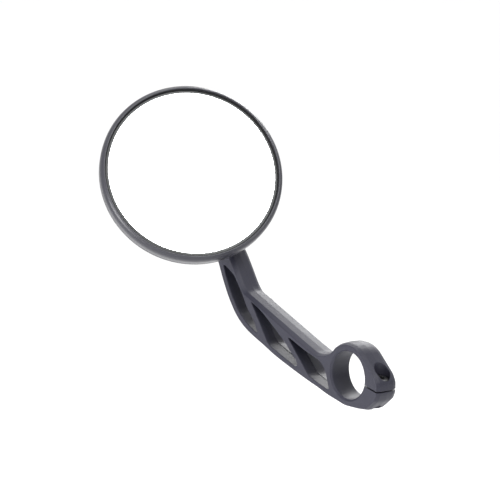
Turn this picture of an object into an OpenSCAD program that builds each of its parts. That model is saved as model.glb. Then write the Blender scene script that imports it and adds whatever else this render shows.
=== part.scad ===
// Handlebar mirror: a truss arm with a split bar clamp, a ball stud and a
// round convex mirror head that turns on the ball.
// X is the handlebar axis, +Y points forward along the arm, +Z is up.
// The origin is the centre of the clamp bore, on the arm's middle plane.

/* [Clamp] */
// Diameter of the handlebar bore
bar_d = 22.2; // [22:0.1:22.6]
// Outer radius of the clamp ring
ring_r = 15; // [14.6:0.1:15.6]
// Width of the slit between the two ears
slit_w = 0.7; // [0.5:0.1:1.2]
// Slope of the slit below the horizontal, in degrees
slit_slope = 12.9; // [10:0.1:16]
// Distance from the bore's centre to the clamp screw's axis
screw_reach = 15.6; // [15.5:0.1:16]
// Diameter of the counterbore for the screw's head
counterbore_d = 7.9; // [7.5:0.1:8]

/* [Arm] */
// Thickness of the arm along the handlebar
arm_t = 12; // [11:0.5:13]
// Chamfer at each end of the bore
bore_chamfer = 0.9; // [0.4:0.1:1]
// Corner radius of the truss windows
window_round = 1.6; // [1:0.1:2]
// Radius of the arm's round end
head_end_r = 9.5; // [9:0.1:10.5]
// Radius of the boss that holds the ball stud
boss_r = 6.5; // [6:0.1:7]

/* [Ball joint] */
// Radius of the ball
ball_r = 7; // [6.8:0.1:7.2]
// Distance from the ball's centre to the arm's middle plane, along the stud
stud_reach = 22.9; // [22.5:0.1:23.5]
// Angle that the stud turns to the side, in degrees
stud_pan = 45; // [43:1:47]
// Angle that the stud rises, in degrees
stud_lift = 25; // [23:1:27]
// Running clearance between the ball, its liner and the socket
running_gap = 0.05; // [0.03:0.01:0.08]
// Thickness of the ball liner
liner_t = 1.95; // [1.9:0.05:2]

/* [Mirror head] */
// Widest radius of the rim
rim_r = 44.5; // [44.3:0.1:44.8]
// Height of the rim's widest circle in front of the ball's centre
rim_plane = 17; // [16.5:0.1:17.5]
// Angle that the mirror faces to the side, in degrees
mirror_pan = 26; // [24:0.5:28]
// Angle that the mirror faces upward, in degrees
mirror_lift = 25.5; // [24:0.5:27]
// Radius of curvature of the convex glass
glass_curve = 800; // [700:50:1000]
// Thickness of the glass
glass_t = 2; // [1.8:0.1:2.2]

/* [Hidden] */

$fn = 96;
eps = 0.01;
half_t = arm_t / 2;
bore_r = bar_d / 2;
black = [0.13, 0.13, 0.16];
steel = [0.72, 0.72, 0.74];

// The arm's end: the point of its middle plane on the stud's axis
end_y = 123.8;
end_z = 67.8;

// Outline of the arm in the YZ plane, as control points of smooth curves
upper_rail = [[9, 12], [13, 8.5], [20, 6.8], [28, 9.2], [54.7, 20.2], [70, 26.6], [75.3, 29.6],
    [81.5, 39], [86.7, 46.5], [93.5, 54.3], [102, 62], [110, 68.7], [118.1, 75.4]];
lower_rail = [[125.7, 58.5], [119, 58.6], [112, 56.2], [104.8, 51.6], [99.6, 45.8], [96.2, 39.8],
    [92.2, 31], [87.5, 22.5], [81.1, 14.3], [73, 8.5], [60.7, 3.2], [48.8, -1.7], [25.4, -9.2],
    [4, -14.45]];
// Corners of the two ears, round the end of the clamp
ear = [[-9.84, 11.32], [-18.6, 2.9], [-20.5, -0.8], [-20.5, -4.4], [-20.2, -6.4],
    [-18.9, -9.3], [-12.9, -14.3], [-6, -14.95], [0, -ring_r]];

// Corners of the four truss windows, from the arm's end to the clamp
windows = [
    [[89.6, 42.8], [96.6, 49.1], [103.4, 55.9], [105.6, 60.6], [96, 52.4], [89.6, 45.2]],
    [[91.2, 40.4], [81.9, 36], [76.3, 27.2], [72.4, 20.4], [67.4, 15.4], [64.2, 9.2],
        [72, 12.8], [79, 18.2], [84.6, 25.9], [88.6, 33.8]],
    [[69.9, 24.9], [60.2, 19.6], [45.3, 9.2], [35, -0.2], [36.2, -2.2], [56.3, 5.4]],
    [[42.3, 11.4], [30.9, 7], [18.8, 3.4], [15.4, 0], [12.2, -9.2], [17.8, -7.6], [26.8, -4.8]]];

// Clamp screw, an M4 low head cap screw
screw_r = 2;
screw_hole_r = 2.2;
screw_head_r = 3.5;
screw_head_h = 2.2;
screw_l = 10;
socket_across = 3;
seat_h = 1.9;
clamp_washer_t = 0.5;
insert_r = 2.9;
insert_top = -1.8;
insert_l = 4.2;

// Ball stud, an M5 thread with a flange and a self-locking nut
stud_r = 2.5;
flange_r = 5;
flange_t = 1.5;
spot_face_r = 7.4;
boss_half = 9.4;
stud_washer_t = 1;
stud_nut_t = 3.6;
stud_nut_across = 8;
lock_ring_t = 1.4;
stud_seat = -3.9;
stud_pocket_r = 5.3;
tail_end = -10.6;
cap_wall = 1.2;

// Socket, measured from the ball's centre along the mirror's axis
liner_out = ball_r + running_gap + liner_t;
seat_r = liner_out + running_gap;
mouth = -4.3;
collar_end = -5.2;
collar_r = 11.3;
liner_top = 5.5;
plate_low = 4;
plate_high = 7;
plate_r = 19.5;
plate_screw_ring = 15.5;
plate_screw_r = 1.4;
spring_t = 0.8;

// Shell and glass
dome_back = -3;
dome_edge = 12;
dome_edge_r = rim_r - 0.3;
shell_t = 2;
dome_sag = dome_edge - dome_back;
dome_curve = (dome_edge_r * dome_edge_r + dome_sag * dome_sag) / (2 * dome_sag);
shell_lip = 12.6;
ledge = 14;
ledge_r = rim_r - 1.4;
glass_r = rim_r - 2.5;
glass_top = rim_plane + 2.4;
view_r = rim_r - 3.1;
crest_r = rim_r - 1.9;
crest_h = 3.2;
pad_t = 0.8;
pad_r = 39;

// Stud direction, from the arm to the ball, and the ball's centre
stud_dir = [-sin(stud_pan) * cos(stud_lift), -cos(stud_pan) * cos(stud_lift), sin(stud_lift)];
ball = [0, end_y, end_z] + stud_reach * stud_dir;

// Catmull-Rom point at u between p1 and p2
function blend_point(p0, p1, p2, p3, u) =
    0.5 * (2 * p1 + (p2 - p0) * u + (2 * p0 - 5 * p1 + 4 * p2 - p3) * u * u
        + (3 * p1 - p0 - 3 * p2 + p3) * u * u * u);

// Smooth curve through the points of a list
function smooth(list, steps = 4) =
    let (n = len(list) - 1)
    concat([for (i = [0:n - 1], k = [0:steps - 1])
        blend_point(list[max(i - 1, 0)], list[i], list[i + 1], list[min(i + 2, n)], k / steps)],
        [list[n]]);

// Closed outline with each corner cut back by r and rounded
function rounded(list, r, steps = 4) =
    let (n = len(list))
    [for (i = [0:n - 1], k = [0:steps])
        let (p = list[i],
            a = list[(i + n - 1) % n] - p,
            b = list[(i + 1) % n] - p,
            pa = p + a / norm(a) * min(r, norm(a) * 0.45),
            pb = p + b / norm(b) * min(r, norm(b) * 0.45),
            u = k / steps)
        (1 - u) * (1 - u) * pa + 2 * u * (1 - u) * p + u * u * pb];

// Points of a round dome in the half plane of a turned profile, from radius r0 to r1
function dome(r0, r1, curve, back, steps = 16) =
    [for (k = [0:steps]) let (r = r0 + (r1 - r0) * k / steps)
        [r, back + curve - sqrt(curve * curve - r * r)]];

// Stands a flat outline in the YZ plane and gives it a thickness along X
module plate(t) {
    rotate([90, 0, 90]) linear_extrude(t, center = true) children();
}

// Puts children on the clamp screw's axis, with z = 0 in the slit
module on_screw() {
    rotate([slit_slope, 0, 0]) rotate([0, 0, 180]) translate([0, screw_reach, 0]) children();
}

// Puts children at the arm's end with +Z along the stud
module on_stud() {
    translate([0, end_y, end_z]) rotate([0, 0, -stud_pan]) rotate([90 - stud_lift, 0, 0]) children();
}

// Puts children at the ball's centre with +Z along the mirror's normal
module on_head() {
    translate(ball) rotate([0, 0, -mirror_pan]) rotate([90 - mirror_lift, 0, 0]) children();
}

module hexagon(across, h) {
    cylinder(h = h, d = across / cos(30), $fn = 6);
}

module ring(r_out, r_in, h) {
    difference() {
        cylinder(r = r_out, h = h);
        translate([0, 0, -eps]) cylinder(r = r_in, h = h + 2 * eps);
    }
}

module arm() {
    color(black) difference() {
        union() {
            plate(arm_t) {
                circle(r = ring_r);
                polygon(concat([[0, 0]], smooth(upper_rail), smooth(lower_rail)));
                polygon(concat([[0, 0]], ear));
            }
            plate(arm_t) translate([end_y, end_z]) circle(r = head_end_r);
            on_stud() translate([0, 0, -boss_half]) cylinder(r = boss_r, h = 2 * boss_half);
        }
        for (w = windows) plate(arm_t + 2) polygon(rounded(w, window_round));
        rotate([0, 90, 0]) cylinder(r = bore_r, h = arm_t + 2, center = true);
        for (side = [-1, 1]) {
            rotate([0, 90 * side, 0]) translate([0, 0, half_t - bore_chamfer])
                cylinder(r1 = bore_r, r2 = bore_r + 2 * bore_chamfer, h = 2 * bore_chamfer);
        }
        rotate([slit_slope, 0, 0]) translate([-half_t - 1, -30, -slit_w / 2])
            cube([arm_t + 2, 30, slit_w]);
        on_screw() translate([0, 0, -12]) cylinder(r = screw_hole_r, h = 24);
        on_screw() translate([0, 0, seat_h]) cylinder(d = counterbore_d, h = 12);
        on_screw() translate([0, 0, insert_top - insert_l]) cylinder(r = insert_r, h = insert_l);
        on_stud() translate([0, 0, -boss_half - 5]) cylinder(r = stud_r + 0.1, h = 2 * boss_half + 10);
        on_stud() translate([0, 0, stud_seat - 20]) cylinder(r = stud_pocket_r, h = 20);
        on_stud() translate([0, 0, boss_half]) cylinder(r = spot_face_r, h = 12);
    }
}

module clamp_screw() {
    head_low = seat_h + clamp_washer_t;
    color(steel) on_screw() difference() {
        union() {
            translate([0, 0, head_low]) cylinder(r = screw_head_r, h = screw_head_h);
            translate([0, 0, head_low - screw_l]) cylinder(r = screw_r, h = screw_l);
        }
        translate([0, 0, head_low + screw_head_h - 1.4]) hexagon(socket_across, 3);
    }
}

module clamp_washer() {
    color(steel) on_screw() translate([0, 0, seat_h])
        ring(screw_head_r, screw_hole_r, clamp_washer_t);
}

module clamp_insert() {
    color([0.78, 0.65, 0.36]) on_screw() translate([0, 0, insert_top - insert_l])
        ring(insert_r, screw_r + 0.05, insert_l);
}

module ball_stud() {
    color(steel) on_stud() {
        translate([0, 0, stud_reach]) sphere(r = ball_r);
        translate([0, 0, tail_end]) cylinder(r = stud_r, h = stud_reach - tail_end);
        translate([0, 0, boss_half]) cylinder(r = flange_r, h = flange_t);
    }
}

module stud_washer() {
    color(steel) on_stud() translate([0, 0, stud_seat - stud_washer_t])
        ring(flange_r, stud_r + 0.15, stud_washer_t);
}

module stud_nut() {
    color(steel) on_stud() translate([0, 0, stud_seat - stud_washer_t - stud_nut_t]) difference() {
        hexagon(stud_nut_across, stud_nut_t);
        translate([0, 0, -1]) cylinder(r = stud_r + 0.05, h = stud_nut_t + 2);
    }
}

module nut_insert() {
    color("steelblue") on_stud()
        translate([0, 0, stud_seat - stud_washer_t - stud_nut_t - lock_ring_t])
        ring(3.6, stud_r + 0.05, lock_ring_t);
}

module nut_cap() {
    depth = -tail_end - boss_half + 0.3;
    color(black) on_stud() translate([0, 0, -boss_half]) mirror([0, 0, 1]) difference() {
        union() {
            cylinder(r1 = boss_r, r2 = boss_r - 0.8, h = depth + cap_wall);
            translate([0, 0, -2]) cylinder(r = stud_pocket_r - 0.05, h = 2);
        }
        translate([0, 0, -2 - eps]) cylinder(r = stud_pocket_r - 0.6, h = depth + 2 + eps);
    }
}

module ball_liner() {
    color("ivory") on_head() difference() {
        sphere(r = liner_out);
        sphere(r = ball_r + running_gap);
        translate([0, 0, liner_top]) cylinder(r = 12, h = 8);
        translate([0, 0, mouth - 8]) cylinder(r = 12, h = 8);
        for (turn = [0, 90]) {
            rotate([0, 0, turn + 45]) translate([-12, -0.4, 0]) cube([24, 0.8, 8]);
        }
    }
}

module shell_profile() {
    outer = dome(collar_r - 1, dome_edge_r, dome_curve, dome_back);
    inner = dome(collar_r - 1, dome_edge_r - shell_t, dome_curve - shell_t, dome_back + shell_t);
    polygon(concat(outer, [[dome_edge_r, shell_lip], [ledge_r, shell_lip], [ledge_r, ledge],
        [dome_edge_r - shell_t, ledge]], [for (i = [len(inner) - 1:-1:0]) inner[i]]));
}

module housing_shell() {
    color(black) on_head() difference() {
        union() {
            rotate_extrude() shell_profile();
            translate([0, 0, collar_end]) cylinder(r = collar_r, h = plate_low - collar_end);
            for (turn = [0:120:240]) {
                rotate([0, 0, turn + 90]) translate([plate_screw_ring, 0, -0.9])
                    cylinder(r = 3.2, h = plate_low + 0.9);
            }
        }
        sphere(r = seat_r);
        cylinder(r = seat_r, h = 10);
        translate([0, 0, collar_end - 1]) cylinder(r = 7.9, h = 3);
        for (turn = [0:120:240]) {
            rotate([0, 0, turn + 90]) translate([plate_screw_ring, 0, 0])
                cylinder(r = plate_screw_r + 0.05, h = 10);
        }
    }
}

module collar_seal() {
    color([0.08, 0.08, 0.08]) on_head() translate([0, 0, collar_end - 0.8])
        ring(collar_r - 0.6, 8.1, 0.8);
}

module pressure_plate() {
    color("silver") on_head() difference() {
        translate([0, 0, plate_low]) cylinder(r = plate_r, h = plate_high - plate_low);
        sphere(r = seat_r);
        translate([0, 0, plate_high - 1]) cylinder(r = 5.8, h = 3);
        for (turn = [0:120:240]) {
            rotate([0, 0, turn + 90]) translate([plate_screw_ring, 0, 0])
                cylinder(r = plate_screw_r + 0.15, h = 10);
        }
    }
}

module plate_screws() {
    low = plate_high + spring_t;
    color(steel) on_head() for (turn = [0:120:240]) {
        rotate([0, 0, turn + 90]) translate([plate_screw_ring, 0, 0]) difference() {
            union() {
                translate([0, 0, low]) cylinder(r = 2.8, h = 1.8);
                translate([0, 0, 0.6]) cylinder(r = plate_screw_r, h = low);
            }
            for (slot = [0, 90]) {
                rotate([0, 0, slot]) translate([-1.5, -0.3, low + 0.8]) cube([3, 0.6, 2]);
            }
        }
    }
}

module spring_washers() {
    color(steel) on_head() for (turn = [0:120:240]) {
        rotate([0, 0, turn + 90]) translate([plate_screw_ring, 0, plate_high]) difference() {
            ring(2.7, plate_screw_r + 0.15, spring_t);
            translate([0, -0.25, -1]) cube([4, 0.5, 3]);
        }
    }
}

// Space between two concentric round surfaces in front of the ball, out to radius r
module curved_disc(r, drop_top, drop_low) {
    centre = glass_top - glass_curve;
    rotate_extrude() polygon(concat(
        [for (k = [0:12]) let (x = r * k / 12, c = glass_curve - drop_top)
            [x, centre + sqrt(c * c - x * x)]],
        [for (k = [12:-1:0]) let (x = r * k / 12, c = glass_curve - drop_low)
            [x, centre + sqrt(c * c - x * x)]]));
}

module glass_carrier() {
    centre = glass_top - glass_curve;
    c = glass_curve - glass_t - pad_t;
    color([0.25, 0.25, 0.26]) on_head() difference() {
        rotate_extrude() polygon(concat(
            [for (k = [0:12]) let (x = glass_r * k / 12) [x, centre + sqrt(c * c - x * x)]],
            [[glass_r, ledge], [0, ledge]]));
        for (turn = [0:60:300]) {
            rotate([0, 0, turn]) translate([24, 0, ledge - 1]) cylinder(r = 8, h = 1.8);
        }
    }
}

module adhesive_pad() {
    color("dimgray") on_head() curved_disc(pad_r, glass_t, glass_t + pad_t);
}

module mirror_glass() {
    color([0.9, 0.92, 0.95]) on_head() curved_disc(glass_r, 0, glass_t);
}

module glass_gasket() {
    color([0.05, 0.05, 0.05]) on_head() translate([0, 0, ledge])
        ring(glass_r + 0.8, glass_r, 4.2);
}

module rim_ring() {
    crest = rim_plane + crest_h;
    lip = glass_top - 1.0;
    color(black) on_head() rotate_extrude() polygon(concat(
        [[dome_edge_r, shell_lip], [rim_r, rim_plane]],
        [for (a = [15:15:90]) [crest_r + (rim_r - crest_r) * cos(a), rim_plane + crest_h * sin(a)]],
        [[view_r + 0.3, crest - 0.5], [view_r, lip + 0.5], [view_r, lip],
            [glass_r + 0.8, lip], [glass_r + 0.8, ledge], [ledge_r, ledge], [ledge_r, shell_lip]]));
}

arm();
clamp_screw();
clamp_washer();
clamp_insert();
ball_stud();
stud_washer();
stud_nut();
nut_insert();
nut_cap();
ball_liner();
housing_shell();
collar_seal();
pressure_plate();
plate_screws();
spring_washers();
glass_carrier();
adhesive_pad();
mirror_glass();
glass_gasket();
rim_ring();
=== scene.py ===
import math

import bmesh
import bpy
from mathutils import Matrix, Vector


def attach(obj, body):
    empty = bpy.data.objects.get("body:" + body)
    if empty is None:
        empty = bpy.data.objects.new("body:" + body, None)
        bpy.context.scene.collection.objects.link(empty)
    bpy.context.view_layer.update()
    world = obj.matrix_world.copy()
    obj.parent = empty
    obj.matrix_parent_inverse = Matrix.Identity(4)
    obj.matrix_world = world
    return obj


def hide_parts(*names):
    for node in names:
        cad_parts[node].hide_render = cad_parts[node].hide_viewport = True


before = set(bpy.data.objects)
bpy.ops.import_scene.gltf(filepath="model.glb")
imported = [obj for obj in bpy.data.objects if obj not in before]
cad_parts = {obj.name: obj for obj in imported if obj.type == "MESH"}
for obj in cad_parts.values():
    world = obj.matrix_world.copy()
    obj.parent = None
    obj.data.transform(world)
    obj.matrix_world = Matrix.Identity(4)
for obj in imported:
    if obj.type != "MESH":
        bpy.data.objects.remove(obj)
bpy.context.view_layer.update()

MM = 0.001

# ---------------------------------------------------------------- driving sizes, in millimetres
HALF_T = 6.0
BORE_R = 11.1
BORE_CHAMFER = 0.9
RING_R = 15.0
SLIT_W = 0.7
SLIT_SLOPE = 12.9
SCREW_REACH = 15.6
COUNTERBORE_R = 3.95
SCREW_HOLE_R = 2.2
SEAT_H = 1.9
INSERT_R = 2.9
INSERT_TOP = -1.8
INSERT_L = 4.2
END = (123.8, 67.8)
HEAD_END_R = 9.5
BOSS_R = 6.5
BOSS_HALF = 9.4
STUD_REACH = 22.9
STUD_PAN = 45.0
STUD_LIFT = 25.0
STUD_R = 2.5
STUD_SEAT = -3.9
POCKET_R = 5.3
SPOT_FACE_R = 7.4
MIRROR_PAN = 26.0
MIRROR_LIFT = 25.5
RIM_R = 44.5
RIM_PLANE = 17.0
SHELL_BACK = -3.0
SHELL_SAG = 15.0
SHELL_WALL = 2.0
SOCKET_R = 9.05
BALL_R = 7.0
NECK_R = 3.0
GLASS_FLAT = 40.45
GLASS_R = 42.0
GLASS_TOP = 19.4
GLASS_CURVE = 800.0
GLASS_BACK_CURVE = 798.0

WINDOW_ROUNDING = 2.2
ARM_ROUNDING = 0.22
SHARP_ANGLE = 35.0

UPPER_RAIL = [(9, 12), (13, 8.5), (20, 6.8), (28, 9.2), (54.7, 20.2), (70, 26.6), (75.3, 29.6),
              (81.5, 39), (86.7, 46.5), (93.5, 54.3), (102, 62), (110, 68.7), (118.1, 75.4)]
LOWER_RAIL = [(125.7, 58.5), (119, 58.6), (112, 56.2), (104.8, 51.6), (99.6, 45.8), (96.2, 39.8),
              (92.2, 31), (87.5, 22.5), (81.1, 14.3), (73, 8.5), (60.7, 3.2), (48.8, -1.7),
              (25.4, -9.2), (4, -14.45)]
EAR = [(0, -15), (-6, -14.95), (-12.9, -14.3), (-18.9, -9.3), (-20.2, -6.4), (-20.5, -4.4),
       (-20.5, -0.8), (-18.6, 2.9), (-9.84, 11.32)]
WINDOWS = [
    [(89.6, 42.8), (96.6, 49.1), (103.4, 55.9), (105.6, 60.6), (96, 52.4), (89.6, 45.2)],
    [(90.9, 40), (82.5, 35.3), (76.3, 27.2), (72.4, 20.4), (67.4, 15.4), (64.2, 9.2),
     (72, 12.8), (79, 18.2), (84.6, 25.9), (88.6, 33.8)],
    [(69.9, 24.9), (60.2, 19.6), (45.3, 9.2), (35, -0.2), (36.2, -2.2), (56.3, 5.4)],
    [(42.3, 11.4), (30.9, 7), (18.8, 3.4), (15.4, 0), (12.2, -9.2), (17.8, -7.6), (26.8, -4.8)],
]


# ---------------------------------------------------------------- frames of reference
def turned(pan, lift):
    """Rotation that takes +Z to a direction panned to the side and lifted from -Y."""
    return (Matrix.Rotation(math.radians(-pan), 4, "Z")
            @ Matrix.Rotation(math.radians(90 - lift), 4, "X"))


END_POINT = Vector((0, END[0], END[1])) * MM
STUD_FRAME = Matrix.Translation(END_POINT) @ turned(STUD_PAN, STUD_LIFT)
BALL = STUD_FRAME @ Vector((0, 0, STUD_REACH * MM))
HEAD_FRAME = Matrix.Translation(BALL) @ turned(MIRROR_PAN, MIRROR_LIFT)
SCREW_FRAME = (Matrix.Rotation(math.radians(SLIT_SLOPE), 4, "X")
               @ Matrix.Translation(Vector((0, -SCREW_REACH * MM, 0))))


# ---------------------------------------------------------------- flat outlines, points as (y, z)
def smooth(points, steps=8):
    """Catmull-Rom curve through the points."""
    pts = [Vector(p) for p in points]
    last = len(pts) - 1
    out = []
    for i in range(last):
        p0, p1, p2, p3 = pts[max(i - 1, 0)], pts[i], pts[i + 1], pts[min(i + 2, last)]
        for k in range(steps):
            u = k / steps
            out.append(0.5 * (2 * p1 + (p2 - p0) * u + (2 * p0 - 5 * p1 + 4 * p2 - p3) * u * u
                              + (3 * p1 - p0 - 3 * p2 + p3) * u ** 3))
    return out + [pts[last]]


def rounded(points, radius, steps=8, is_open=False):
    """Outline with each corner cut back by radius and rounded."""
    pts = [Vector(p) for p in points]
    out = []
    for i, p in enumerate(pts):
        if is_open and i in (0, len(pts) - 1):
            out.append(p)
            continue
        a, b = pts[i - 1] - p, pts[(i + 1) % len(pts)] - p
        pa = p + a.normalized() * min(radius, a.length * 0.45)
        pb = p + b.normalized() * min(radius, b.length * 0.45)
        for k in range(steps + 1):
            u = k / steps
            out.append((1 - u) ** 2 * pa + 2 * u * (1 - u) * p + u * u * pb)
    return out


def arc(centre, radius, start, stop, steps):
    out = []
    for k in range(steps + 1):
        a = math.radians(start + (stop - start) * k / steps)
        out.append(Vector((centre[0] + radius * math.cos(a), centre[1] + radius * math.sin(a))))
    return out


def resampled(points, spacing):
    """The same closed outline with evenly spaced points."""
    pts = [p for i, p in enumerate(points) if (p - points[i - 1]).length > 1e-4]
    lengths = [(pts[(i + 1) % len(pts)] - p).length for i, p in enumerate(pts)]
    count = int(sum(lengths) / spacing)
    step = sum(lengths) / count
    out, i, gone = [], 0, 0.0
    for k in range(count):
        target = k * step
        while gone + lengths[i] < target and i < len(pts) - 1:
            gone += lengths[i]
            i += 1
        out.append(pts[i].lerp(pts[(i + 1) % len(pts)], (target - gone) / lengths[i]))
    return out


def is_left_turning(points):
    return sum(points[i - 1].x * p.y - p.x * points[i - 1].y for i, p in enumerate(points)) > 0


def inset(points, distance, weights=None):
    """The outline moved towards its inside by distance, with mitred corners."""
    side = 1 if is_left_turning(points) else -1
    out = []
    for i, p in enumerate(points):
        a = (p - points[i - 1]).normalized()
        b = (points[(i + 1) % len(points)] - p).normalized()
        na, nb = Vector((-a.y, a.x)) * side, Vector((-b.y, b.x)) * side
        n = (na + nb).normalized()
        share = weights[i] if weights else 1.0
        out.append(p + n * distance * share / max(n.dot(na), 0.6))
    return out


# ---------------------------------------------------------------- mesh helpers
def new_object(name, bm):
    bmesh.ops.remove_doubles(bm, verts=bm.verts, dist=1e-7)
    bmesh.ops.recalc_face_normals(bm, faces=bm.faces)
    mesh = bpy.data.meshes.new(name)
    bm.to_mesh(mesh)
    bm.free()
    obj = bpy.data.objects.new(name, mesh)
    bpy.context.scene.collection.objects.link(obj)
    shade(obj)
    return obj


def shade(obj):
    """Smooth shading, with sharp edges where faces meet at more than SHARP_ANGLE degrees."""
    mesh = obj.data
    mesh.polygons.foreach_set("use_smooth", [True] * len(mesh.polygons))
    mesh.set_sharp_from_angle(angle=math.radians(SHARP_ANGLE))


def lathe(name, profile, place, turns=256, closed=True):
    """A solid turned from (radius, height) points in millimetres about the Z axis of place."""
    bm = bmesh.new()
    rings = []
    for r, z in profile:
        if r < 1e-6:
            rings.append([bm.verts.new(place @ Vector((0, 0, z * MM)))])
        else:
            rings.append([bm.verts.new(place @ Vector((
                r * MM * math.cos(2 * math.pi * k / turns),
                r * MM * math.sin(2 * math.pi * k / turns), z * MM))) for k in range(turns)])
    pairs = list(zip(rings, rings[1:]))
    if closed:
        pairs.append((rings[-1], rings[0]))
    for a, b in pairs:
        if len(a) == 1 and len(b) == 1:
            continue
        for k in range(turns):
            n = (k + 1) % turns
            if len(a) == 1:
                bm.faces.new((a[0], b[k], b[n]))
            elif len(b) == 1:
                bm.faces.new((a[k], b[0], a[n]))
            else:
                bm.faces.new((a[k], b[k], b[n], a[n]))
    return new_object(name, bm)


def evaluated(obj):
    """Applies the object's modifiers to its mesh."""
    graph = bpy.context.evaluated_depsgraph_get()
    made = bpy.data.meshes.new_from_object(obj.evaluated_get(graph))
    obj.modifiers.clear()
    obj.data = made
    return obj


def combined(obj, tool, operation):
    """Boolean of obj with tool, which is then deleted."""
    mod = obj.modifiers.new("cut", "BOOLEAN")
    mod.operation = operation
    mod.solver = "EXACT"
    mod.object = tool
    evaluated(obj)
    bpy.data.objects.remove(tool)
    return obj


def soften(obj, width, angle):
    """Rounds the edges sharper than angle degrees by width millimetres, and evens the shading."""
    bevel = obj.modifiers.new("edges", "BEVEL")
    bevel.width = width * MM
    bevel.segments = 2
    bevel.limit_method = "ANGLE"
    bevel.angle_limit = math.radians(angle)
    bevel.use_clamp_overlap = True
    bevel.harden_normals = False
    evaluated(obj)
    shade(obj)
    flat = obj.modifiers.new("flat", "WEIGHTED_NORMAL")
    flat.mode = "FACE_AREA"
    flat.weight = 80
    flat.keep_sharp = True
    return obj


# ---------------------------------------------------------------- the arm
# Moulded section: (distance from the middle plane, how far the wall is drawn in there)
OUTER_SECTION = [(0, 0), (0.12, 0.0), (0.3, 0.03), (3.7, 0.34), (4.0, 0.42), (4.2, 0.55),
                 (5.65, 1.35), (5.82, 1.48), (5.95, 1.68), (HALF_T, 1.9)]
WINDOW_SECTION = [(0, 0.3), (0.12, 0.3), (0.14, 0.16), (5.7, -0.06), (5.82, -0.1), (HALF_T, -0.26)]
BORE_SECTION = [(0, 0), (5.0, 0), (5.1, 0), (5.95, -0.85), (HALF_T, -BORE_CHAMFER)]


def arm_outline():
    corner = math.degrees(math.atan2(UPPER_RAIL[-1][1] - END[1], UPPER_RAIL[-1][0] - END[0]))
    low = math.degrees(math.atan2(LOWER_RAIL[0][1] - END[1], LOWER_RAIL[0][0] - END[0]))
    loop = arc((0, 0), RING_R, 131, 53.1, 40)[:-1] + smooth(UPPER_RAIL)
    loop += arc(END, HEAD_END_R, corner, low, 40)[1:-1] + smooth(LOWER_RAIL)
    loop += arc((0, 0), RING_R, 285.5, 270, 8)[1:-1] + rounded(EAR, 1.3, is_open=True)[:-1]
    return resampled(loop, 0.5)


def crown_share(point):
    """The crown of the rails fades to a lower one round the clamp."""
    far = 0.0 if point.x < 0 else min(max((point.length - 17) / 8, 0), 1)
    return 0.6 + 0.4 * far * far * (3 - 2 * far)


def walls(bm, loop, section, weights=None):
    """Walls of one outline through the whole thickness; returns its two face loops."""
    levels = [(-x, d) for x, d in reversed(section) if x > 0] + list(section)
    rings = []
    for x, d in levels:
        rings.append([bm.verts.new((x * MM, p.x * MM, p.y * MM)) for p in inset(loop, d, weights)])
    count = len(loop)
    for a, b in zip(rings, rings[1:]):
        for k in range(count):
            n = (k + 1) % count
            bm.faces.new((a[k], a[n], b[n], b[k]))
    return rings[0], rings[-1]


def plate_body():
    bm = bmesh.new()
    outline = arm_outline()
    faces = [walls(bm, outline, OUTER_SECTION, [crown_share(p) for p in outline])]
    circle = arc((0, 0), BORE_R, 0, 360, 144)[:-1]
    faces.append(walls(bm, circle, BORE_SECTION))
    for corners in WINDOWS:
        loop = resampled(rounded(corners, WINDOW_ROUNDING), 0.4)
        faces.append(walls(bm, loop, WINDOW_SECTION))
    for side in (0, 1):
        edges = []
        for pair in faces:
            ring = pair[side]
            for k, v in enumerate(ring):
                edges.append(bm.edges.get((v, ring[(k + 1) % len(ring)])))
        bmesh.ops.triangle_fill(bm, edges=edges, use_beauty=True)
    return new_object("arm_body", bm)


def slab(low, high, place):
    """A box between two corners in millimetres, turned by place."""
    bm = bmesh.new()
    bmesh.ops.create_cube(bm, size=1)
    size = Vector([h - l for l, h in zip(low, high)]) * MM
    centre = Vector([(h + l) / 2 for l, h in zip(low, high)]) * MM
    bmesh.ops.scale(bm, vec=size, verts=bm.verts)
    bmesh.ops.translate(bm, vec=centre, verts=bm.verts)
    bmesh.ops.transform(bm, matrix=place, verts=bm.verts)
    return new_object("tool", bm)


def make_arm():
    body = plate_body()
    chamfer = 0.5
    boss = [(0, -BOSS_HALF), (BOSS_R - chamfer, -BOSS_HALF), (BOSS_R, -BOSS_HALF + chamfer),
            (BOSS_R, BOSS_HALF - chamfer), (BOSS_R - chamfer, BOSS_HALF), (0, BOSS_HALF)]
    combined(body, lathe("tool", boss, STUD_FRAME, 96, closed=False), "UNION")
    slit_place = Matrix.Rotation(math.radians(SLIT_SLOPE), 4, "X")
    combined(body, slab((-8, -30, -SLIT_W / 2), (8, -5, SLIT_W / 2), slit_place), "DIFFERENCE")
    screw_way = [(0, -14.0), (SCREW_HOLE_R, -14.0), (SCREW_HOLE_R, INSERT_TOP - INSERT_L),
                 (INSERT_R, INSERT_TOP - INSERT_L), (INSERT_R, INSERT_TOP),
                 (SCREW_HOLE_R, INSERT_TOP), (SCREW_HOLE_R, SEAT_H), (COUNTERBORE_R, SEAT_H),
                 (COUNTERBORE_R, 14.0), (0, 14.0)]
    combined(body, lathe("tool", screw_way, SCREW_FRAME, 96, closed=False), "DIFFERENCE")
    face = BOSS_HALF - 0.02
    stud_way = [(0, -14.0), (POCKET_R, -14.0), (POCKET_R, STUD_SEAT), (STUD_R + 0.1, STUD_SEAT),
                (STUD_R + 0.1, face), (SPOT_FACE_R, face), (SPOT_FACE_R, face + 12), (0, face + 12)]
    combined(body, lathe("tool", stud_way, STUD_FRAME, 96, closed=False), "DIFFERENCE")
    return soften(body, ARM_ROUNDING, 38)


# ---------------------------------------------------------------- the mirror head
def dome_z(r, curve, back):
    """Height of a sphere's surface at radius r, where its lowest point is at height back."""
    return back + curve - math.sqrt(curve * curve - r * r)


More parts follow.
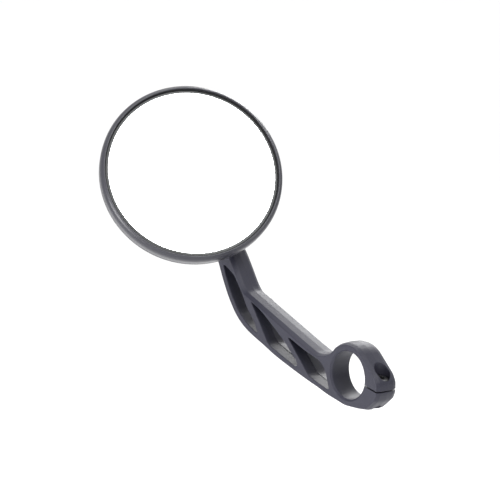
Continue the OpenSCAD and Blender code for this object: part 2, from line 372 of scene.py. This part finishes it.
def rim_profile():
    pts = [(43.15, 12.65), (43.95, 12.65), (44.15, 12.8), (44.3, 13.1)]
    pts += [(RIM_R - 0.2 * (1 - k / 6) ** 2, 13.4 + (RIM_PLANE - 13.4) * k / 6) for k in range(7)]
    pts += [(44.46, 17.4), (44.38, 17.85), (44.25, 18.3), (44.07, 18.72), (43.84, 19.1),
            (43.56, 19.42), (43.3, 19.64), (43.15, 19.78), (43.05, 19.92), (42.98, 20.04),
            (42.88, 20.12), (42.74, 20.15)]
    pts += [(42.54, 20.15), (42.42, 20.1), (42.34, 19.98), (42.3, 19.8), (42.3, 18.32),
            (42.75, 18.3), (42.75, 14.05), (43.15, 14.05)]
    return pts


# Visible gasket ring over the rim's inner wall: a real rubber gasket, and its near-black tone is
# painted shade for the wall's dark reflection.
def gasket_profile():
    return [(42.28, 18.32), (42.28, 19.7), (42.12, 19.66), (41.96, 19.45), (41.84, 19.0),
            (41.78, 18.6), (41.78, 18.36)]


def shell_profile():
    edge = RIM_R - 0.3
    curve = (edge * edge + SHELL_SAG * SHELL_SAG) / (2 * SHELL_SAG)
    out = [(7.9, -5.0), (8.1, -5.2), (10.9, -5.2), (11.15, -5.12), (11.3, -4.9)]
    start = 12.6
    out += [(11.3, -2.6), (11.5, -2.2), (11.9, -1.75), (start, dome_z(start, curve, SHELL_BACK))]
    for k in range(1, 61):
        r = start + (edge - start) * k / 60
        groove = 0.3 * max(0.0, 1 - abs(r - 39.5) / 0.8)
        out.append((r, dome_z(r, curve, SHELL_BACK) + groove))
    out += [(edge + 0.02, 12.35), (edge - 0.15, 12.6), (43.1, 12.6), (43.1, 14.0), (42.2, 14.0)]
    for k in range(31):
        r = 42.2 + (11.3 - 42.2) * k / 30
        out.append((r, dome_z(r, curve - SHELL_WALL, SHELL_BACK + SHELL_WALL)))
    out += [(11.3, 4.0), (SOCKET_R, 4.0), (SOCKET_R, 0.0)]
    for k in range(1, 9):
        a = math.radians(29.4 * k / 8)
        out.append((SOCKET_R * math.cos(a), -SOCKET_R * math.sin(a)))
    return out


def glass_height(r, curve=GLASS_CURVE):
    return GLASS_TOP - GLASS_CURVE + math.sqrt(curve * curve - r * r)


def glass_profile():
    top = [(GLASS_FLAT * k / 24, glass_height(GLASS_FLAT * k / 24)) for k in range(25)]
    return top + [(r, glass_height(r, GLASS_BACK_CURVE)) for r, _ in reversed(top)]


# Outer ring of the glass face, dressed in flat grey as a painted reflection of the rim's inner wall
# instead of mirror silvering.
def glass_edge_profile():
    return [(GLASS_FLAT, glass_height(GLASS_FLAT)), (41.85, glass_height(GLASS_R) - 0.35),
            (GLASS_R, glass_height(GLASS_R) - 0.5),
            (GLASS_R, glass_height(GLASS_R, GLASS_BACK_CURVE)),
            (GLASS_FLAT, glass_height(GLASS_FLAT, GLASS_BACK_CURVE))]


# ---------------------------------------------------------------- screw, stud, cap and seal
def make_screw():
    low = SEAT_H + 0.5
    top = low + 2.2
    profile = [(0, low - 10), (1.6, low - 10), (2, low - 9.6), (2, low), (3.35, low),
               (3.5, low + 0.15), (3.5, top - 0.35), (3.4, top - 0.12), (3.15, top), (0, top)]
    screw = lathe("clamp_screw_head", profile, SCREW_FRAME, 96, closed=False)
    hexagon = lathe("tool", [(0, top - 1.7), (1.74, top - 1.4), (1.74, top + 1), (0, top + 1)],
                    SCREW_FRAME, 6, closed=False)
    combined(screw, hexagon, "DIFFERENCE")
    return soften(screw, 0.07, 40)


def stud_profile():
    pts = [(0, -10.6), (2.1, -10.6)]
    pts += [(2.5 if k % 2 else 2.2, -10.2 + 0.4 * k) for k in range(16)]
    pts += [(2.5, -3.6), (2.5, BOSS_HALF), (4.8, BOSS_HALF), (5.0, BOSS_HALF + 0.2),
            (5.0, BOSS_HALF + 1.2), (4.7, BOSS_HALF + 1.5), (3.1, BOSS_HALF + 1.6),
            (2.7, BOSS_HALF + 1.85), (2.5, BOSS_HALF + 2.4)]
    for k in range(1, 6):
        pts.append((2.5 + 0.5 * (k / 5) ** 2, STUD_REACH - 7.6 + 1.15 * (k / 5)))
    for k in range(1, 49):
        a = math.asin(NECK_R / BALL_R) * (1 - k / 48) + math.pi * k / 48
        pts.append((BALL_R * math.sin(a), STUD_REACH - BALL_R * math.cos(a)))
    return pts


def cap_profile():
    top, deep = -BOSS_HALF, -BOSS_HALF - 2.7
    return [(5.25, top + 1.8), (5.1, top + 2), (4.7, top + 2), (4.7, top - 1.5), (0, top - 1.5),
            (0, deep), (3.9, deep), (4.9, deep + 0.08), (5.4, deep + 0.35), (5.72, deep + 0.9),
            (6.4, top - 0.3), (6.45, top - 0.1), (6.3, top - 0.01), (5.25, top - 0.01)]


def seal_profile():
    return [(8.1, -5.2), (8.1, -5.75), (8.35, -6.0), (10.3, -6.0), (10.65, -5.8), (10.7, -5.2)]


# ---------------------------------------------------------------- camera, floor and light, metres
CAMERA_TURN = -39.0
CAMERA_LIFT = 9.0
CAMERA_AWAY = 0.9
FLOOR_HEIGHT = -0.25
OBJECT_MIDDLE = (0, 0.06, 0.03)
HEAD_MIDDLE = (0, 0.1, 0.08)


def camera():
    az, el = math.radians(CAMERA_TURN), math.radians(CAMERA_LIFT)
    back = Vector((math.sin(az) * math.cos(el), -math.cos(az) * math.cos(el), math.sin(el)))
    right = Vector((math.cos(az), math.sin(az), 0))
    up = back.cross(right)
    data = bpy.data.cameras.new("camera")
    data.sensor_width = 36
    data.lens = 142.1
    data.clip_start, data.clip_end = 0.01, 200
    obj = bpy.data.objects.new("camera", data)
    bpy.context.scene.collection.objects.link(obj)
    obj.rotation_mode = "QUATERNION"
    obj.location = CAMERA_AWAY * back - 0.0487 * right + 0.0564 * up
    obj.rotation_quaternion = (-back).to_track_quat("-Z", "Y")
    bpy.context.scene.camera = obj


def area_light(name, place, target, side, power):
    """A square lamp that faces target."""
    data = bpy.data.lights.new(name, "AREA")
    data.shape = "RECTANGLE"
    data.size, data.size_y = side, side
    data.energy = power
    obj = bpy.data.objects.new(name, data)
    bpy.context.scene.collection.objects.link(obj)
    obj.location = place
    obj.rotation_mode = "QUATERNION"
    obj.rotation_quaternion = (Vector(target) - Vector(place)).to_track_quat("-Z", "Y")


def studio():
    bm = bmesh.new()
    bmesh.ops.create_grid(bm, x_segments=1, y_segments=1, size=40)
    bmesh.ops.translate(bm, vec=(0, 0, FLOOR_HEIGHT), verts=bm.verts)
    floor = new_object("floor", bm)
    mat = bpy.data.materials.new("floor_paper")
    mat.use_nodes = True
    shader = mat.node_tree.nodes["Principled BSDF"]
    shader.inputs["Base Color"].default_value = (0.95, 0.95, 0.95, 1)
    shader.inputs["Roughness"].default_value = 0.9
    floor.data.materials.append(mat)
    world = bpy.data.worlds.new("studio")
    bpy.context.scene.world = world
    world.use_nodes = True
    nodes, links = world.node_tree.nodes, world.node_tree.links
    where = nodes.new("ShaderNodeTexCoord")
    slope = nodes.new("ShaderNodeVectorMath")
    slope.operation = "DOT_PRODUCT"
    slope.inputs[1].default_value = (0.05, 0.25, 1)
    links.new(where.outputs["Generated"], slope.inputs[0])
    sky = nodes.new("ShaderNodeMapRange")
    sky.interpolation_type = "SMOOTHSTEP"
    sky.inputs["From Min"].default_value = -0.05
    sky.inputs["From Max"].default_value = 0.42
    sky.inputs["To Min"].default_value = 0.35
    sky.inputs["To Max"].default_value = 1.12
    links.new(slope.outputs["Value"], sky.inputs["Value"])
    links.new(sky.outputs["Result"], nodes["Background"].inputs["Strength"])
    nodes["Background"].inputs["Color"].default_value = (1, 1, 1, 1)
    area_light("key", (0.68, 0.52, 0.50), OBJECT_MIDDLE, 0.4, 5)
    area_light("top", (0.25, 0.35, 0.9), OBJECT_MIDDLE, 0.4, 2.5)
    area_light("front", (-0.12, -0.65, 0.73), HEAD_MIDDLE, 0.45, 6)
    area_light("side", (-0.95, 0.05, 0.02), OBJECT_MIDDLE, 0.4, 8)
    bpy.context.scene.view_settings.view_transform = "Standard"


# ---------------------------------------------------------------- materials
def material(name, colour, roughness, grain=0.0, grain_scale=2500.0, metallic=0.0, mottle=0.12,
             specular=0.5):
    """Plain base with fine grain bump, blotchy roughness and slight colour variation."""
    mat = bpy.data.materials.new(name)
    mat.use_nodes = True
    tree = mat.node_tree
    nodes, links = tree.nodes, tree.links
    shader = nodes["Principled BSDF"]
    shader.inputs["Metallic"].default_value = metallic
    shader.inputs["Specular IOR Level"].default_value = specular
    where = nodes.new("ShaderNodeTexCoord")
    cloud = nodes.new("ShaderNodeTexNoise")
    cloud.inputs["Scale"].default_value = 60.0
    cloud.inputs["Detail"].default_value = 5.0
    links.new(where.outputs["Object"], cloud.inputs["Vector"])
    tone = nodes.new("ShaderNodeMix")
    tone.data_type = "RGBA"
    dark = [c * (1 - mottle) for c in colour] + [1]
    light = [min(c * (1 + mottle), 1) for c in colour] + [1]
    tone.inputs[6].default_value = dark
    tone.inputs[7].default_value = light
    links.new(cloud.outputs["Fac"], tone.inputs[0])
    links.new(tone.outputs[2], shader.inputs["Base Color"])
    rough = nodes.new("ShaderNodeMapRange")
    rough.inputs["To Min"].default_value = roughness * 0.88
    rough.inputs["To Max"].default_value = min(roughness * 1.12, 1)
    links.new(cloud.outputs["Fac"], rough.inputs["Value"])
    links.new(rough.outputs["Result"], shader.inputs["Roughness"])
    if grain:
        fine = nodes.new("ShaderNodeTexNoise")
        fine.inputs["Scale"].default_value = grain_scale
        fine.inputs["Detail"].default_value = 3.0
        links.new(where.outputs["Object"], fine.inputs["Vector"])
        bump = nodes.new("ShaderNodeBump")
        bump.inputs["Strength"].default_value = grain
        bump.inputs["Distance"].default_value = 0.00008
        links.new(fine.outputs["Fac"], bump.inputs["Height"])
        links.new(bump.outputs["Normal"], shader.inputs["Normal"])
    return mat


def dressed(obj, mat):
    obj.data.materials.clear()
    obj.data.materials.append(mat)
    return obj


# ---------------------------------------------------------------- put together
camera()
studio()

arm_plastic = material("arm_plastic", (0.021, 0.021, 0.033), 0.5, grain=0.45, specular=0.3)
rim_plastic = material("rim_plastic", (0.026, 0.026, 0.034), 0.33, grain=0.2, specular=0.4)
shell_plastic = material("shell_plastic", (0.035, 0.035, 0.042), 0.5, grain=0.6, grain_scale=1600)
silvering = material("mirror_glass", (0.96, 0.97, 0.98), 0.015, metallic=1.0, mottle=0.0)
# Flat grey for the glass's outer ring: painted reflection of the rim's inner wall, standing in for
# the mirror finish there.
painted_reflection_band = material("painted_reflection_band", (0.15, 0.155, 0.155), 0.5, grain=0.2)
steel = material("screw_steel", (0.14, 0.14, 0.145), 0.36, grain=0.2, metallic=1.0)
chrome = material("ball_chrome", (0.72, 0.72, 0.74), 0.12, metallic=1.0)
brass = material("brass", (0.78, 0.60, 0.30), 0.3, grain=0.2, metallic=1.0)
nylon = material("nylon", (0.08, 0.2, 0.5), 0.5, grain=0.2)
acetal = material("liner_plastic", (0.75, 0.73, 0.66), 0.4, grain=0.2)
# Real gasket rubber, kept blacker than the other rubber as painted shade for the dark line inside
# the rim's crest.
gasket_rubber_painted_shade = material("gasket_rubber_painted_shade", (0.006, 0.006, 0.007), 0.7, grain=0.4, specular=0.2)
rubber = material("cap_rubber", (0.02, 0.02, 0.022), 0.65, grain=0.5)
foam = material("foam", (0.1, 0.1, 0.1), 0.9, grain=0.8, grain_scale=900)
sheet_steel = material("plate_steel", (0.55, 0.55, 0.56), 0.38, grain=0.2, metallic=1.0)
grey_plastic = material("carrier_plastic", (0.15, 0.15, 0.16), 0.55, grain=0.4)

CAD_LOOKS = {
    "clamp_washer": steel, "clamp_insert": brass, "stud_washer": steel, "stud_nut": steel,
    "nut_insert": nylon, "ball_liner": acetal, "pressure_plate": sheet_steel,
    "plate_screws": steel, "spring_washers": steel, "glass_carrier": grey_plastic,
    "adhesive_pad": foam,
}
for name, look in CAD_LOOKS.items():
    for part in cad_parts[name].material_slots:
        part.material = look

pieces = [
    (make_arm(), arm_plastic, "arm", "arm", "arm_plastic"),
    (lathe("rim", rim_profile(), HEAD_FRAME), rim_plastic, "head", "rim_ring", "rim_plastic"),
    (lathe("back_shell", shell_profile(), HEAD_FRAME), shell_plastic, "head", "housing_shell",
     "shell_plastic"),
    (lathe("glass", glass_profile(), HEAD_FRAME, closed=False), silvering, "head",
     "mirror_glass", "mirror_glass"),
    (lathe("glass_edge", glass_edge_profile(), HEAD_FRAME), painted_reflection_band, "head",
     "mirror_glass", "mirror_glass"),
    (lathe("gasket", gasket_profile(), HEAD_FRAME), gasket_rubber_painted_shade, "head", "glass_gasket",
     "cap_rubber"),
    (make_screw(), steel, "arm", "clamp_screw", "screw_steel"),
    (lathe("stud", stud_profile(), STUD_FRAME, 128, closed=False), chrome, "arm", "ball_stud",
     "ball_chrome"),
    (lathe("cap", cap_profile(), STUD_FRAME, 128), rubber, "arm", "nut_cap", "cap_rubber"),
    (lathe("seal", seal_profile(), HEAD_FRAME, 160), rubber, "head", "collar_seal", "cap_rubber"),
]
for obj, look, body, node, slot in pieces:
    dressed(obj, look)
    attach(obj, body)
    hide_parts(node)
